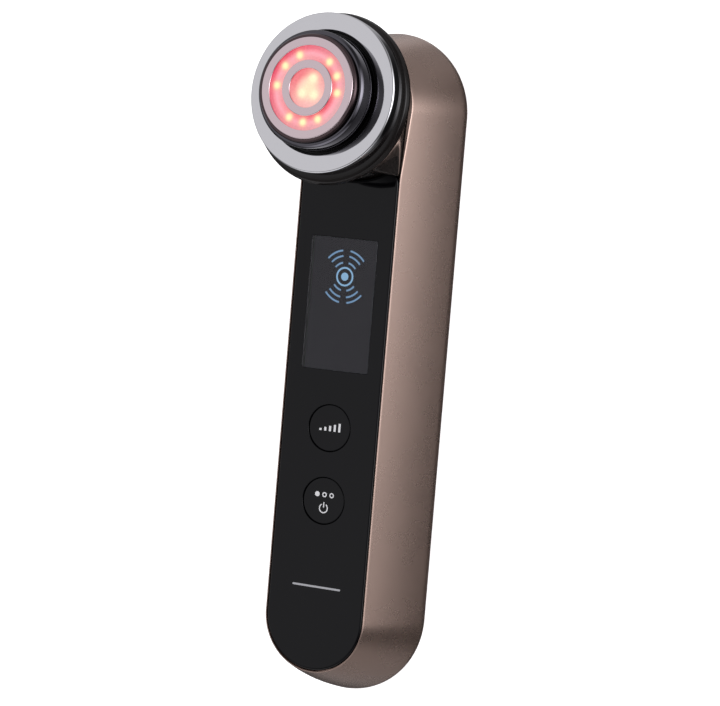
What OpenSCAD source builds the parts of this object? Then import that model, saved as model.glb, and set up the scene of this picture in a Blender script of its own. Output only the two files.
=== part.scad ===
// Hand-held radio-frequency and light skin care device, lying on its back.
// Z points out of the control panel, Y points to the treatment head.

/* [Body] */
// Distance between the centres of the two round ends
end_spacing = 142.65; // [120:0.05:160]
// Half width of the shell at its front edge
front_half = 15.7; // [14.5:0.1:17]
// Depth of the shell from back face to front edge
body_t = 27.9; // [27:0.1:29]
// Radius of the back corner
back_corner_r = 5; // [4:0.5:6]
// Side slope at the front edge, degrees from vertical
slope_front = 23; // [20:1:25]
// Side slope where the back corner starts, degrees from vertical
slope_back = 12; // [10:1:14]
// Wall thickness of the shell
wall = 1.8; // [1.6:0.1:2.0]

/* [Front panel] */
// Half width of the glossy panel
panel_half = 15.2; // [14:0.05:15.3]
// Thickness of the panel
panel_t = 1.75; // [1.5:0.05:2]
// How far the panel stands proud of the shell edge
panel_proud = 0.15; // [0:0.05:0.3]
// Radius of the concave end beside the head
notch_r = 23; // [22:0.1:24]
// Radius of the two rounded corners beside the head
panel_corner_r = 3.2; // [2.5:0.1:4]

/* [Controls] */
// Radius of each button cap
button_r = 6.57; // [5.5:0.01:6.6]
// Radius of the panel holes around the caps
button_hole_r = 6.72; // [6.65:0.01:6.9]
// Button travel
button_travel = 0.5; // [0.3:0.05:0.5]
// Place of the level button along the body
level_y = -20.07; // [-21:0.01:-19]
// Place of the mode button along the body
mode_y = -40.6; // [-42:0.01:-40]

/* [Display] */
// Width of the display window
display_w = 21; // [18:0.5:22]
// Length of the display window
display_l = 37.2; // [34:0.2:38]
// Centre of the display along the body
display_y = 14.76; // [14.5:0.01:15.5]

/* [Head] */
// Tilt of the head towards the far end, degrees
head_tilt = 5.8; // [4:0.1:7]
// Height of the outer electrode plane above the back face
head_z = 48.62; // [48.2:0.01:49]
// Outer radius of the outer electrode
electrode_r = 22.17; // [21.8:0.01:22.4]
// Inner radius of the outer electrode
electrode_inner_r = 17.25; // [17.25:0.05:18]
// Outer radius of the gloss collar
collar_r = 23.8; // [23.6:0.1:24.4]
// Radius of the treatment barrel
barrel_r = 16.2; // [15.9:0.05:16.3]
// Height of the treatment face above the outer electrode plane
face_h = 8.46; // [8.4:0.02:9]
// Radius of the circle of lamps
led_circle_r = 9.4; // [9.2:0.05:9.8]

/* [Cell] */
// Diameter of the battery cell
cell_d = 18.2; // [14:0.1:18.4]
// Length of the battery cell
cell_l = 65; // [50:1:65]

/* [Hidden] */
$fn = 96;
e = 0.01;
yb = -73.49;                       // centre of the lower round end
yt = yb + end_spacing;              // centre of the upper round end
notch_y = yt + 3.45;                // centre of the panel's concave end
head_y = yt + 3.81;                 // centre of the outer electrode
base_w = -22.83;                    // shell front plane in the head, from the electrode plane
tilt_y = notch_y - 21.55;           // where the shell front starts to slope back
side_R = (body_t - back_corner_r * (1 + sin(slope_back))) / (sin(slope_front) - sin(slope_back));
side_x = front_half + side_R * (cos(slope_back) - cos(slope_front));
side_z = body_t - side_R * (sin(slope_front) - sin(slope_back));
panel_top = body_t + panel_proud;
panel_bot = panel_top - panel_t;
pcb_z = 22.2;
pcb_t = 1.2;
pcb_top = pcb_z + pcb_t;
cell_z = wall + 1.5 + cell_d / 2;
tray_r = 14.3;
tray_in = 13.3;
tray_top = panel_bot - 0.2;
led_angles = [337.5, 306, 270.5, 208, 180, 151.5, 95, 66.5, 38];
centre_angles = [12, 132, 252];
corner_x = panel_half - panel_corner_r;
corner_dy = sqrt(pow(notch_r + panel_corner_r, 2) - corner_x * corner_x);
case_pts = [[16.85, -56.5], [-16.85, -56.5], [16.85, 33.5], [-16.85, 33.5]];
neck_off = 1.96;                    // centre of the concave end in the head frame, on the shell front
collar_off = -0.8;                  // the collar sits a little towards the panel
board_pts = [[11.8, -58.5], [-11.8, -58.5], [11.8, 39.5], [-11.8, 39.5]];

// ---------- shared shapes ----------

// point of the shell's side curve at tangent angle t, moved in by d
function side_pt(t, d) =
  let (p = t >= slope_back
        ? [front_half + side_R * (cos(t) - cos(slope_front)), body_t - side_R * (sin(slope_front) - sin(t))]
        : [side_x + back_corner_r * (cos(t) - cos(slope_back)), side_z - back_corner_r * (sin(slope_back) - sin(t))])
  [p[0] - d * cos(t), p[1] - d * sin(t)];
function side_curve(d) = concat(
  [for (i = [0:6]) side_pt(slope_front - (slope_front - slope_back) * i / 6, d)],
  [for (i = [1:8]) side_pt(slope_back - (slope_back + 90) * i / 8, d)]);

// half section of the outside, with a small chamfer at the front edge
module outer_half() {
  c = side_curve(0);
  polygon(concat([[0, 0], [0, body_t], [front_half - 0.3, body_t], [front_half + 0.12, body_t - 0.3]],
    [for (i = [1:len(c) - 1]) c[i]]));
}
module inner_half() {
  c = side_curve(wall);
  polygon(concat([[0, wall], [0, body_t + 2], [c[0][0] - 0.5, body_t + 2]], c));
}
module long_round(l0, l1) {
  // sweep a half section (child) round both ends and along the straight sides
  translate([0, l1, 0]) rotate_extrude(angle = 180) children();
  translate([0, l0, 0]) rotate([0, 0, 180]) rotate_extrude(angle = 180) children();
  translate([0, l1, 0]) rotate([90, 0, 0]) linear_extrude(height = l1 - l0) {
    children();
    mirror([1, 0]) children();
  }
}
module stadium(r) {
  translate([0, yb]) circle(r);
  translate([0, yt]) circle(r);
  translate([-r, yb]) square([2 * r, end_spacing]);
}
// everything outside the two rounded corners of the panel, measured from the head centre
module corner_cut(r) {
  for (s = [0, 1]) mirror([s, 0]) translate([corner_x, -corner_dy]) difference() {
    polygon([[0, 0], [8, 0], [8, 14], [-14 * corner_x / corner_dy, 14]]);
    circle(r);
  }
}
module head_frame() {
  translate([0, head_y, head_z]) rotate([-head_tilt, 0, 0]) children();
}
module ring(r0, r1, z0, z1) {
  translate([0, 0, z0]) difference() {
    cylinder(r = r1, h = z1 - z0);
    translate([0, 0, -1]) cylinder(r = r0, h = z1 - z0 + 2);
  }
}
module rod(r, z0, z1) {
  translate([0, 0, z0]) cylinder(r = r, h = z1 - z0);
}
module screw(head_r, head_h, shank_r, shank_l) {
  // head above z = 0, shank below, with a cross recess
  difference() {
    rod(head_r, 0, head_h);
    translate([-0.2, -head_r * 0.6, head_h * 0.4]) cube([0.4, head_r * 1.2, head_h]);
    translate([-head_r * 0.6, -0.2, head_h * 0.4]) cube([head_r * 1.2, 0.4, head_h]);
  }
  rod(shank_r, -shank_l, e);
}
// flat strip in the Y-Z plane along a list of [y, z] points, with mitred bends
function strip_side(p, t) = [for (i = [0:len(p) - 1])
  let (a = i == 0 ? p[0] : p[i - 1], b = p[i], c = i == len(p) - 1 ? p[i] : p[i + 1],
       u = i == 0 ? (c - b) / norm(c - b) : (b - a) / norm(b - a),
       v = i == len(p) - 1 ? u : (c - b) / norm(c - b),
       m = [-(u[1] + v[1]), u[0] + v[0]],
       k = t / (m * [-u[1], u[0]]))
  b + m * k];
module strip(pts, t, w) {
  l = strip_side(pts, t / 2);
  r = strip_side(pts, -t / 2);
  rotate([90, 0, 90]) translate([0, 0, -w / 2]) linear_extrude(height = w)
    polygon(concat(l, [for (i = [len(r) - 1:-1:0]) r[i]]));
}

// ---------- case ----------

module rear_shell() {
  color("#8a6f66") difference() {
    long_round(yb, yt) outer_half();
    long_round(yb, yt) inner_half();
    // seat of the front panel
    translate([0, 0, tray_top]) linear_extrude(height = 4) stadium(panel_half + 0.15);
    // seat of the neck
    translate([0, 0, 20.6]) linear_extrude(height = 9) intersection() {
      stadium(panel_half + 0.15);
      translate([-30, tilt_y - 4]) square([60, 60]);
    }
    // the front edge slopes back around the head
    translate([0, tilt_y, body_t]) rotate([-head_tilt, 0, 0]) translate([-40, 0, 0]) cube([80, 80, 20]);
    // charging contacts
    for (s = [-1, 1]) translate([5 * s, yb - 6, -1]) cylinder(r = 1.95, h = wall + 2);
  }
  // screw bosses of the inner frame
  color("#8a6f66") for (p = case_pts) translate([p[0], p[1], 0]) difference() {
    rod(2.1, wall - 0.2, 12);
    rod(0.95, 6, 13);
  }
}

module front_panel() {
  color("#1c1b1e") difference() {
    union() {
      translate([0, 0, panel_bot]) linear_extrude(height = panel_t - 0.35) stadium(panel_half);
      translate([0, 0, panel_top - 0.35]) linear_extrude(height = 0.15) stadium(panel_half - 0.1);
      translate([0, 0, panel_top - 0.2]) linear_extrude(height = 0.2) stadium(panel_half - 0.25);
    }
    translate([0, notch_y, 0]) rod(notch_r, 20, 40);
    translate([0, notch_y, 20]) linear_extrude(height = 20) corner_cut(panel_corner_r);
    translate([-30, notch_y - 15, 20]) cube([60, 80, 20]);
    for (y = [level_y, mode_y]) translate([0, y, 0]) rod(button_hole_r, 20, 40);
    translate([-display_w / 2, display_y - display_l / 2, panel_top - 1]) cube([display_w, display_l, 5]);
    translate([-display_w / 2 + 1.5, display_y - display_l / 2 + 1.5, 20]) cube([display_w - 3, display_l - 3, 20]);
  }
}

module display_window() {
  color("#2b2a30") translate([-display_w / 2 + 0.02, display_y - display_l / 2 + 0.02, panel_top - 1])
    cube([display_w - 0.04, display_l - 0.04, 0.95]);
}

module display_module() {
  color("#20242c") difference() {
    union() {
      translate([-9.9, display_y - 17.8, pcb_top]) cube([19.8, 35.6, 1.5]);
      translate([-8.6, display_y - 16.6, pcb_top + 1.4]) cube([17.2, 33.2, 1.0]);
    }
    translate([-8, display_y - 16, pcb_top + 2.2]) cube([16, 32, 1]);
  }
}

module panel_gasket() {
  color("#3a3a3c") translate([0, 0, tray_top]) linear_extrude(height = 0.2) difference() {
    intersection() {
      stadium(panel_half - 0.05);
      translate([-30, -120]) square([60, 120 + tilt_y - 3]);
    }
    stadium(tray_in);
  }
}

module inner_frame() {
  color("#d8d6d0") difference() {
    union() {
      // tray wall and floor
      translate([0, 0, wall]) linear_extrude(height = tray_top - wall) difference() {
        intersection() { stadium(tray_r); translate([-30, -120]) square([60, 120 + 47.5]); }
        intersection() { stadium(tray_in); translate([-30, -120]) square([60, 120 + 46.5]); }
      }
      translate([0, 0, wall]) linear_extrude(height = 1) intersection() {
        stadium(tray_r - 0.1); translate([-30, -120]) square([60, 120 + 47]);
      }
      // board posts
      for (p = board_pts) translate([p[0], p[1], 0]) rod(1.45, wall, pcb_z);
      // screw tabs outside the tray
      for (p = case_pts) translate([p[0], p[1], 12]) {
        cylinder(r = 2.0, h = 1.4);
        translate([p[0] > 0 ? -3.2 : 0, -2.0, 0]) cube([3.2, 4.0, 1.4]);
      }
      // cell stops
      for (y = [-68.4, -0.2]) translate([-6, y, wall]) cube([12, 0.9, 7]);
      // shelf under the head, with rails and legs
      head_frame() rod(13.6, -28.27, -26.67);
      for (s = [-1, 1]) {
        translate([s * 11 - 1.4, 46.3, 18.6]) cube([2.8, 14, 4]);
        translate([s * 10, 58.8, 0]) rod(2.4, wall, 22.3);
        translate([s * 9, 75, 0]) rod(2.4, wall, 20.8);
      }
    }
    for (p = board_pts) translate([p[0], p[1], 0]) rod(0.9, 15, 30);
    for (p = case_pts) translate([p[0], p[1], 0]) rod(1.1, 10, 16);
    head_frame() {
      rod(7.4, -32, -21.5);
      for (a = [90, 210, 330]) rotate([0, 0, a]) translate([10.4, 0, 0]) rod(1.1, -29.6, -25.6);
      for (a = [90, 210, 330]) rotate([0, 0, a]) translate([10.4, 0, 0]) rod(2.0, -42, -28.27);
    }
    // way through for the ribbon
    translate([-4, 45.5, 14]) cube([8, 3, 6.5]);
    for (s = [-1, 1]) translate([5 * s, yb - 6, -1]) rod(1.95, 0, 5);
  }
}

module front_screw_set(pts, z, hr, hh, sr, sl) {
  for (p = pts) translate([p[0], p[1], z]) screw(hr, hh, sr, sl);
}
module case_screws() { color("#b9bcc0") front_screw_set(case_pts, 13.4, 1.5, 1.2, 0.84, 6.5); }
module board_screws() { color("#b9bcc0") front_screw_set(board_pts, pcb_top, 1.4, 0.9, 0.79, 6); }
module neck_screws() {
  color("#b9bcc0") head_frame() for (a = [90, 210, 330]) rotate([0, 0, a])
    translate([10.4, 0, -28.27]) rotate([180, 0, 0]) screw(1.7, 1.2, 1.0, 4.2);
}
module head_screws() {
  color("#b9bcc0") head_frame() for (a = [30, 150, 270]) rotate([0, 0, a])
    translate([10.4, 0, -5.77]) screw(1.6, 1.2, 0.84, 5);
}

// ---------- electronics ----------

module main_pcb() {
  color("#2f6b45") difference() {
    union() {
      translate([0, 0, pcb_z]) linear_extrude(height = pcb_t) intersection() {
        stadium(tray_in - 0.1);
        translate([-13.2, -120]) square([26.4, 120 + 46.3]);
      }
      // controller and driver packages on the lower side
      translate([2.5, 29.5, pcb_z - 1.0]) cube([7, 7, 1.01]);
      translate([-9, 29.5, pcb_z - 1.2]) cube([5, 6, 1.21]);
      translate([-3, -78.5, pcb_z - 1.6]) cube([6, 4, 1.61]);
    }
    for (p = board_pts) translate([p[0], p[1], 0]) rod(0.95, 20, 26);
  }
}
module tact_switch(y) {
  translate([-2.6, y - 2.6, pcb_top]) cube([5.2, 5.2, 0.8]);
  translate([0, y, 0]) rod(1.2, pcb_top + 0.7, pcb_top + 1.2);
}
module level_switch() { color("#c9c9c9") tact_switch(level_y); }
module mode_switch() { color("#c9c9c9") tact_switch(mode_y); }
module board_connector() {
  color("#e8e4da") difference() {
    translate([-4.5, 41, pcb_z - 1.6]) cube([9, 4.5, 1.6]);
    translate([-3.2, 43.1, pcb_z - 1.1]) cube([6.4, 3, 0.6]);
  }
}
module battery_cell() {
  color("#3f6fae") {
    translate([0, -66.5, cell_z]) rotate([-90, 0, 0]) cylinder(d = cell_d, h = cell_l - 1.2);
    translate([0, -66.5 + cell_l - 1.3, cell_z]) rotate([-90, 0, 0]) cylinder(d = 6, h = 1.3);
  }
}
module battery_pad() {
  color("#4a4a4a") difference() {
    translate([-5, -62.5, wall + 1]) cube([10, 56, 1.2]);
    translate([0, -70, cell_z]) rotate([-90, 0, 0]) cylinder(d = cell_d + 0.02, h = 80);
  }
}
module lead(x, y0, z0, y1, z1, r) {
  // out along Y, then up
  translate([x, min(y0, y1), z0]) rotate([-90, 0, 0]) cylinder(r = r, h = abs(y1 - y0), $fn = 24);
  translate([x, y1, z0]) sphere(r = r, $fn = 24);
  translate([x, y1, z0]) cylinder(r = r, h = z1 - z0, $fn = 24);
}
module battery_leads() {
  color("#c0392b") {
    lead(1, -66.5 + cell_l + 0.05, cell_z, 2.7, pcb_z, 0.6);
    lead(-1, -66.55, cell_z + 3, -70.7, pcb_z, 0.6);
  }
}
module rf_transformer() {
  color("#4b4440") translate([0, 17.5, 0]) difference() {
    union() {
      rod(8, pcb_z - 8, pcb_z);
      translate([-5, -9.2, pcb_z - 2]) cube([10, 18.4, 2]);
    }
    ring(4, 6.4, pcb_z - 7, pcb_z - 1.6);
    translate([-10, -2, pcb_z - 7]) cube([20, 4, 5.4]);
  }
}
module buzzer() {
  color("#222222") translate([-7.6, 3.9, 0]) difference() {
    rod(3.9, pcb_z - 3.2, pcb_z);
    rod(0.9, pcb_z - 4, pcb_z - 2.4);
  }
}
module charge_contacts() {
  color("#d2a84a") for (s = [-1, 1]) translate([5 * s, yb - 6, 0]) {
    rod(1.92, 0.3, wall + 1);
    rod(0.8, wall + 0.9, 6.6);
  }
}
module contact_block() {
  color("#2a2a2a") difference() {
    translate([-8.5, yb - 9, wall + 1]) cube([17, 6, 2.6]);
    for (s = [-1, 1]) translate([5 * s, yb - 6, 0]) rod(0.8, 0, 9);
  }
}
module charge_leads() {
  color("#202020") for (s = [-1, 1]) translate([5 * s, yb - 6, 0]) rod(0.55, 6.6, pcb_z);
}
module head_ribbon() {
  color("#b5792f") strip([[head_y + 3.1, 51.5], [head_y + 1.1, 33], [head_y - 1.8, 17.2], [57.5, 16.2],
    [47, 17.0], [44.1, pcb_z - 1.75]], 0.3, 6);
}

// ---------- head ----------

module neck_outline(corners) {
  // in the head plane: shell end outline, limited by the panel's concave end
  intersection() {
    union() {
      translate([0, yt - notch_y + neck_off]) circle(panel_half);
      translate([-panel_half, -40]) square([2 * panel_half, 40 + yt - notch_y + neck_off]);
    }
    union() {
      translate([0, neck_off]) circle(notch_r - 0.15);
      if (corners) translate([0, neck_off]) intersection() {
        corner_cut(panel_corner_r + 0.15);
        translate([-30, -corner_dy]) square([60, 12]);
      }
    }
  }
}
module neck_shell() {
  color("#17171a") head_frame() difference() {
    union() {
      translate([0, 0, base_w - 3.79]) linear_extrude(height = 3.9) neck_outline(true);
      hull() {
        translate([0, 0, base_w]) linear_extrude(height = 0.3) neck_outline(false, $fn = 48);
        translate([0, collar_off, -8.27]) cylinder(r = collar_r - 0.9, h = 0.5, $fn = 96);
      }
    }
    rod(12.5, -22.87, -11.77);
    rod(7.4, -32, -21.57);
    rod(6, -13.57, 0);
    for (a = [30, 150, 270]) rotate([0, 0, a]) translate([10.4, 0, 0]) rod(0.95, -11.17, 0);
    for (a = [90, 210, 330]) rotate([0, 0, a]) translate([10.4, 0, 0]) rod(1.1, -27.57, -23.77);
  }
}
module collar_ring() {
  color("#101012") head_frame() difference() {
    translate([0, collar_off, 0]) rotate_extrude() polygon([[0, -7.77], [collar_r - 0.7, -7.77], [collar_r - 0.2, -7.37],
      [collar_r, -6.77], [collar_r, -6.27], [collar_r - 0.15, -5.7], [collar_r - 0.5, -5.1], [collar_r - 1.2, -4.67], [0, -4.67]]);
    rod(17.25, -9, 0);
    ring(19.45, 20.55, -9, -6.72);
  }
}
module head_seal() {
  color("#2b2b2b") head_frame() translate([0, 0, -7.25]) rotate_extrude() translate([20, 0]) circle(r = 0.5, $fn = 32);
}
module head_carrier() {
  color("#3c3c40") head_frame() difference() {
    union() {
      rod(17.2, -7.77, -5.77);
      ring(12.4, 13.9, -5.87, 3.5);
    }
    rod(5, -10, 0);
    for (a = [30, 150, 270]) rotate([0, 0, a]) translate([10.4, 0, 0]) rod(1.0, -10, 0);
  }
}
module outer_electrode() {
  color("#c6c6cc") head_frame() rotate_extrude() polygon([[electrode_inner_r, -4.67], [electrode_r, -4.67],
    [electrode_r, -0.6], [electrode_r - 0.12, -0.25], [electrode_r - 0.35, -0.06], [electrode_r - 0.7, 0],
    [electrode_inner_r + 0.3, 0], [electrode_inner_r, -0.3]]);
}
module ring_insulator() {
  color("#19191c") head_frame() rotate_extrude() polygon([[barrel_r + 0.02, -5.77], [17.2, -5.77],
    [17.2, -0.6], [16.95, -0.6], [16.75, -1.2], [barrel_r + 0.02, -1.2]]);
}
module head_barrel() {
  color("#26242a") head_frame() rotate_extrude() polygon([[13.95, -5.77], [barrel_r, -5.77], [barrel_r, 5.9],
    [barrel_r - 0.25, 6.4], [barrel_r - 0.7, 6.7], [15.0, 6.7], [15.0, 6.2], [13.95, 6.2]]);
}
module face_rim() {
  color("#4a3c40") head_frame() rotate_extrude() polygon([[14.0, 6.2], [14.9, 6.2], [14.9, 7.9], [14.6, face_h - 0.2], [14.0, face_h - 0.1]]);
}
module outer_face_electrode() {
  color("#cbc9cf") head_frame() rotate_extrude() polygon([[11.6, 6.2], [13.98, 6.2], [13.98, face_h - 0.25], [13.7, face_h],
    [11.9, face_h], [11.6, face_h - 0.3]]);
}
module led_lens_ring() {
  color("#e0566a") head_frame() ring(7.75, 11.58, 6.2, face_h - 0.3);
}
module inner_face_electrode() {
  color("#cbc9cf") head_frame() rotate_extrude() polygon([[5.38, 6.2], [7.73, 6.2], [7.73, face_h - 0.3], [7.45, face_h],
    [5.66, face_h], [5.38, face_h - 0.3]]);
}
module centre_lens() {
  color("#e88a90") head_frame() rod(5.36, 6.2, face_h - 0.3);
}
module led_spots(r, h0, h1) {
  for (a = led_angles) rotate([0, 0, 90 - a]) translate([led_circle_r, 0, 0]) rod(r, h0, h1);
  for (a = centre_angles) rotate([0, 0, 90 - a]) translate([2.3, 0, 0]) rod(r, h0, h1);
}
module led_reflector() {
  color("#e9e6e2") head_frame() difference() {
    rod(13.9, 4.5, 6.2);
    led_spots(1.3, 4, 7);
  }
}
module led_board() {
  color("#f0efe8") head_frame() rod(13.85, 3.5, 4.5);
}
module ring_leds() {
  color("#ffd98a") head_frame() for (a = led_angles) rotate([0, 0, 90 - a]) translate([led_circle_r - 0.8, -0.8, 4.5]) cube([1.6, 1.6, 0.8]);
}
module centre_leds() {
  color("#ffd98a") head_frame() for (a = centre_angles) rotate([0, 0, 90 - a]) translate([1.5, -0.8, 4.5]) cube([1.6, 1.6, 0.8]);
}

// ---------- controls ----------

module button_cap(y) {
  h = pcb_top + 1.2 + button_travel + 0.1;
  top = body_t - 0.05;
  translate([0, y, 0]) rotate_extrude() polygon([[0, h], [7.4, h], [7.4, h + 0.65], [button_r, h + 0.65],
    [button_r, top - 0.35], [button_r - 0.3, top], [button_r - 0.9, top], [0, top - 0.25]]);
}
module level_button() { color("#1e1d20") button_cap(level_y); }
module mode_button() { color("#1e1d20") button_cap(mode_y); }

rear_shell();
front_panel();
display_window();
display_module();
panel_gasket();
inner_frame();
main_pcb();
level_switch();
mode_switch();
battery_cell();
battery_pad();
battery_leads();
charge_contacts();
contact_block();
charge_leads();
buzzer();
rf_transformer();
board_connector();
head_ribbon();
neck_shell();
collar_ring();
head_seal();
head_carrier();
outer_electrode();
ring_insulator();
head_barrel();
face_rim();
outer_face_electrode();
led_lens_ring();
inner_face_electrode();
centre_lens();
led_reflector();
led_board();
ring_leds();
centre_leds();
case_screws();
board_screws();
neck_screws();
head_screws();
level_button();
mode_button();
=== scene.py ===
import bpy
import bmesh
import math
from math import sin, cos, radians, pi, sqrt, atan2, hypot
from mathutils import Vector, Matrix, geometry


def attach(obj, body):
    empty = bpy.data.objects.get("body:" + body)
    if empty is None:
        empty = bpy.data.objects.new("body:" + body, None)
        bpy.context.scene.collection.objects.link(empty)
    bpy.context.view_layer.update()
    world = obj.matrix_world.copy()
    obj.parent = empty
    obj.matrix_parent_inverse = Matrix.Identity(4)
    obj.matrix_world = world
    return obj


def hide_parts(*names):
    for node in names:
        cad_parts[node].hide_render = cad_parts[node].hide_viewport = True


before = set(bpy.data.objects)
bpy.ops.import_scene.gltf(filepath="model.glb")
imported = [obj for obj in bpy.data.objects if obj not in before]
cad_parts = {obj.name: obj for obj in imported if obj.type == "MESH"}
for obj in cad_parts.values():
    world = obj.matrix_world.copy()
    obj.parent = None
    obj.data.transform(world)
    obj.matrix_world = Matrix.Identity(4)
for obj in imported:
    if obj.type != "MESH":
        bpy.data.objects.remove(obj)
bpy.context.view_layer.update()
MM = 0.001

# ------------------------------------------------------------------ design dimensions, mm
YB, SPAN = -73.49, 142.65
YT = YB + SPAN
NOTCH_Y = YT + 3.45
HY, HZ, TILT = YT + 3.81, 48.62, radians(5.8)
BODY_T, FRONT, CORNER_R = 27.9, 15.7, 5.0
SF, SB = radians(23), radians(12)
SIDE_R = (BODY_T - CORNER_R * (1 + sin(SB))) / (sin(SF) - sin(SB))
SIDE_X = FRONT + SIDE_R * (cos(SB) - cos(SF))
SIDE_Z = BODY_T - SIDE_R * (sin(SF) - sin(SB))
WALL = 1.8
PANEL_HALF, PANEL_TOP, PANEL_BOT = 15.2, 28.05, 26.3
NOTCH_R, PCORNER = 23.0, 3.2
TILT_Y = NOTCH_Y - 21.55
BUTTON_R, HOLE_R = 6.57, 6.72
LEVEL_Y, MODE_Y, DISP_Y = -20.07, -40.6, 14.76
DISP_W, DISP_L = 21.0, 37.2
FACE_H = 8.46
PLUG_V, COLLAR_V = 1.96, -0.8
RING_R0, RING_R1, COLLAR_R, BARREL_R = 17.25, 22.17, 23.8, 16.2
LED_R = 9.4
LED_ANG = [337.5, 306, 270.5, 208, 180, 151.5, 95, 66.5, 38]
AXIS = Vector((0, sin(TILT), cos(TILT)))
HEAD = Matrix.Translation((0, HY, HZ)) @ Matrix.Rotation(-TILT, 4, "X")

# ------------------------------------------------------------------ camera
cam_a, cam_e, cam_roll = radians(27.87), radians(3.83), radians(4.77)
back = Vector((sin(cam_a) * cos(cam_e), sin(cam_e), cos(cam_a) * cos(cam_e)))
up0 = (Vector((0, 1, 0)) - back * back.y).normalized()
rt0 = up0.cross(back)
right = rt0 * cos(cam_roll) + up0 * sin(cam_roll)
up = -rt0 * sin(cam_roll) + up0 * cos(cam_roll)
target = Vector((7.6, 9.86 - 80.55 + NOTCH_Y, BODY_T)) * MM
cam_data = bpy.data.cameras.new("camera")
cam_data.lens = 161.55
cam_data.sensor_fit = "HORIZONTAL"
cam_data.sensor_width = 36.0
cam_data.clip_start, cam_data.clip_end = 0.05, 60.0
camera = bpy.data.objects.new("camera", cam_data)
bpy.context.scene.collection.objects.link(camera)
m = Matrix.Identity(4)
for i in range(3):
    m[i][0], m[i][1], m[i][2] = right[i], up[i], back[i]
    m[i][3] = target[i] + back[i] * 0.9
camera.matrix_world = m
bpy.context.scene.camera = camera

# ------------------------------------------------------------------ mesh helpers
def link(me, name):
    o = bpy.data.objects.new(name, me)
    bpy.context.scene.collection.objects.link(o)
    return o


def finish_mesh(name, bm, angle=35.0, weld=1e-7):
    bmesh.ops.remove_doubles(bm, verts=bm.verts, dist=weld)
    bmesh.ops.dissolve_degenerate(bm, edges=bm.edges, dist=weld)
    loose = [v for v in bm.verts if not v.link_faces]
    bmesh.ops.delete(bm, geom=loose, context="VERTS")
    bmesh.ops.recalc_face_normals(bm, faces=bm.faces)
    me = bpy.data.meshes.new(name)
    bm.to_mesh(me)
    bm.free()
    me.shade_smooth()
    me.set_sharp_from_angle(angle=radians(angle))
    return link(me, name)


def rounded(points, radii, n=6, closed=True):
    """Polygon points in 2D with corners replaced by arcs; a radius of 0 keeps the corner."""
    out = []
    count = len(points)
    for i, p in enumerate(points):
        r = radii[i] if isinstance(radii, (list, tuple)) else radii
        if r <= 0 or (not closed and i in (0, count - 1)):
            out.append(tuple(p))
            continue
        a = Vector(points[i - 1]) - Vector(p)
        b = Vector(points[(i + 1) % count]) - Vector(p)
        la, lb = a.length, b.length
        a.normalize()
        b.normalize()
        ang = a.angle(b)
        t = min(r / math.tan(ang / 2), la * 0.49, lb * 0.49)
        r = t * math.tan(ang / 2)
        mid = (a + b).normalized()
        c = Vector(p) + mid * (r / sin(ang / 2))
        s, e = Vector(p) + a * t - c, Vector(p) + b * t - c
        sa = atan2(s.y, s.x)
        da = atan2(e.y, e.x) - sa
        while da > pi:
            da -= 2 * pi
        while da < -pi:
            da += 2 * pi
        k = max(2, n)
        for j in range(k + 1):
            t2 = sa + da * j / k
            out.append((c.x + r * cos(t2), c.y + r * sin(t2)))
    return out


def dense(points, step, closed=True):
    out = []
    n = len(points)
    for i in range(n if closed else n - 1):
        a, b = Vector(points[i]), Vector(points[(i + 1) % n])
        k = max(1, int((b - a).length / step))
        for j in range(k):
            out.append(tuple(a.lerp(b, j / k)))
    if not closed:
        out.append(tuple(points[-1]))
    return out


def lathe(name, profile, n=256, xf=HEAD, angle=35.0, closed=True):
    """Solid of revolution from a profile of (radius, height) in mm. Open profiles start and end on the axis."""
    bm = bmesh.new()
    rings = []
    for r, w in profile:
        if r < 1e-6:
            rings.append([bm.verts.new(xf @ Vector((0, 0, w)) * MM)])
        else:
            rings.append([bm.verts.new(xf @ Vector((r * cos(2 * pi * k / n), r * sin(2 * pi * k / n), w)) * MM) for k in range(n)])
    pairs = list(zip(rings, rings[1:] + ([rings[0]] if closed else [])))
    if not closed:
        pairs = pairs[: len(rings) - 1]
    for a, b in pairs:
        for k in range(n):
            q = [a[k % len(a)], a[(k + 1) % len(a)], b[(k + 1) % len(b)], b[k % len(b)]]
            u = []
            for v in q:
                if v not in u:
                    u.append(v)
            if len(u) > 2:
                try:
                    bm.faces.new(u)
                except ValueError:
                    pass
    return finish_mesh(name, bm, angle)


def offset_loop(loop, d):
    """Moves a dense closed loop inwards by d (counter-clockwise loops shrink)."""
    out = []
    n = len(loop)
    for i in range(n):
        p = Vector(loop[i])
        a, b = Vector(loop[i - 1]), Vector(loop[(i + 1) % n])
        t = b - a
        t.normalize()
        out.append((p.x - t.y * d, p.y + t.x * d))
    return out


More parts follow.
